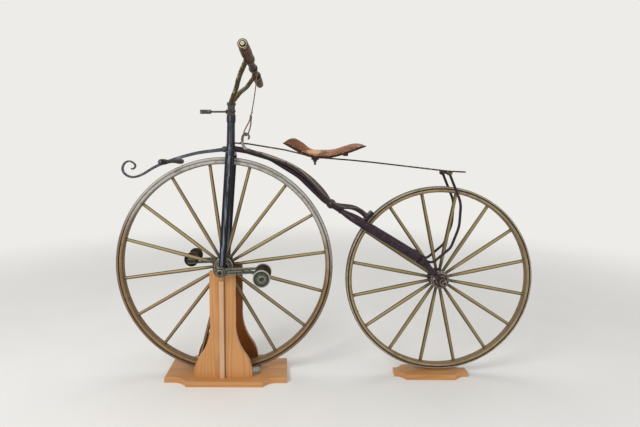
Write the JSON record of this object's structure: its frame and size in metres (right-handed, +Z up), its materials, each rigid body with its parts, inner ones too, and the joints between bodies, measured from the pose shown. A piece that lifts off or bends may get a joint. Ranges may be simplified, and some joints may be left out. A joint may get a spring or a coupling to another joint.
{
  "type": "boneshaker velocipede bicycle on a display stand",
  "caption": "Iron-framed velocipede with wood-spoked wheels, cranks on the front axle and a leather saddle on a long leaf spring, held up by a pine stand and block.",
  "frame": {"origin": "middle of the bounding box at floor level, under the gap between the wheels", "axes": "+X to the rear of the bicycle, +Y to the rider's right, +Z up"},
  "size_m": [1.7799, 0.746, 1.331],
  "materials": {
    "varnished_pine": "warm varnished pine with upright grain",
    "black_iron": "worn near-black paint over forged iron",
    "fork_iron": "worn blue-black paint over forged iron",
    "worn_iron": "dark iron rubbed bright along its top edge",
    "spring_steel": "dark oiled spring steel",
    "handlebar_steel": "olive-brown patinated steel",
    "hub_iron": "dark greasy iron with bright rubbed edges",
    "pedal_steel": "turned grey metal with ring marks",
    "tyre_iron": "worn grey iron",
    "rim_wood": "weathered grey-olive painted wood",
    "spoke_wood": "olive-ochre painted wood",
    "grip_wood": "dark brown turned wood",
    "saddle_leather": "worn brown leather",
    "cord": "thin brown brake cord"
  },
  "bodies": {
    "frame": {"stand_foot_left": "varnished_pine", "stand_foot_right": "varnished_pine", "stand_post_left": "varnished_pine", "stand_post_right": "varnished_pine", "stand_batten_left": "varnished_pine", "stand_batten_right": "varnished_pine", "rear_block": "varnished_pine", "head_tube": "black_iron", "backbone": "black_iron", "rear_leg_left": "black_iron", "rear_leg_right": "black_iron", "rear_axle": "black_iron", "saddle_spring": "spring_steel", "spring_stay_left": "black_iron", "spring_stay_right": "black_iron", "stay_bolt": "black_iron", "brake_lever": "worn_iron", "brake_spoon": "black_iron", "brake_pivot": "black_iron", "brake_cord": "cord", "leg_rest": "black_iron", "leg_rest_rod": "black_iron", "leg_rest_grip_left": "grip_wood", "leg_rest_grip_right": "grip_wood", "saddle": "saddle_leather", "saddle_frame": "black_iron", "saddle_clamp": "black_iron"},
    "steering": {"fork_crown": "fork_iron", "fork_blade_left": "fork_iron", "fork_blade_right": "fork_iron", "head_cap": "fork_iron", "handlebar_arm_left": "handlebar_steel", "handlebar_arm_right": "handlebar_steel", "handlebar": "handlebar_steel", "cord_winding": "cord", "grip_left": "grip_wood", "grip_right": "grip_wood", "lamp_bracket": "black_iron"},
    "front_wheel": {"front_tyre": "tyre_iron", "front_felloe": "rim_wood", "front_spokes": "spoke_wood", "front_hub": "hub_iron", "front_axle": "hub_iron", "crank_left": "hub_iron", "crank_right": "hub_iron"},
    "pedal_left": {"pedal_left": "pedal_steel"},
    "pedal_right": {"pedal_right": "pedal_steel"},
    "rear_wheel": {"rear_tyre": "tyre_iron", "rear_felloe": "rim_wood", "rear_spokes": "spoke_wood", "rear_hub": "hub_iron"}
  },
  "joints": [
    {"name": "steering", "type": "hinge", "parent": "frame", "child": "steering", "pos_m": [-0.3938, 0, 0.962], "axis": [0.0216, 0, 0.9998], "range_deg": [-8, 8]},
    {"name": "front_wheel_spin", "type": "hinge", "parent": "steering", "child": "front_wheel", "pos_m": [-0.425, 0, 0.476], "axis": [0, 1, 0], "continuous": true},
    {"name": "rear_wheel_spin", "type": "hinge", "parent": "frame", "child": "rear_wheel", "pos_m": [0.493, 0, 0.421], "axis": [0, 1, 0], "continuous": true},
    {"name": "pedal_left_spin", "type": "hinge", "parent": "front_wheel", "child": "pedal_left", "pos_m": [-0.24924, -0.179, 0.48521], "axis": [0, 1, 0], "continuous": true},
    {"name": "pedal_right_spin", "type": "hinge", "parent": "front_wheel", "child": "pedal_right", "pos_m": [-0.60076, 0.179, 0.46679], "axis": [0, 1, 0], "continuous": true}
  ]
}
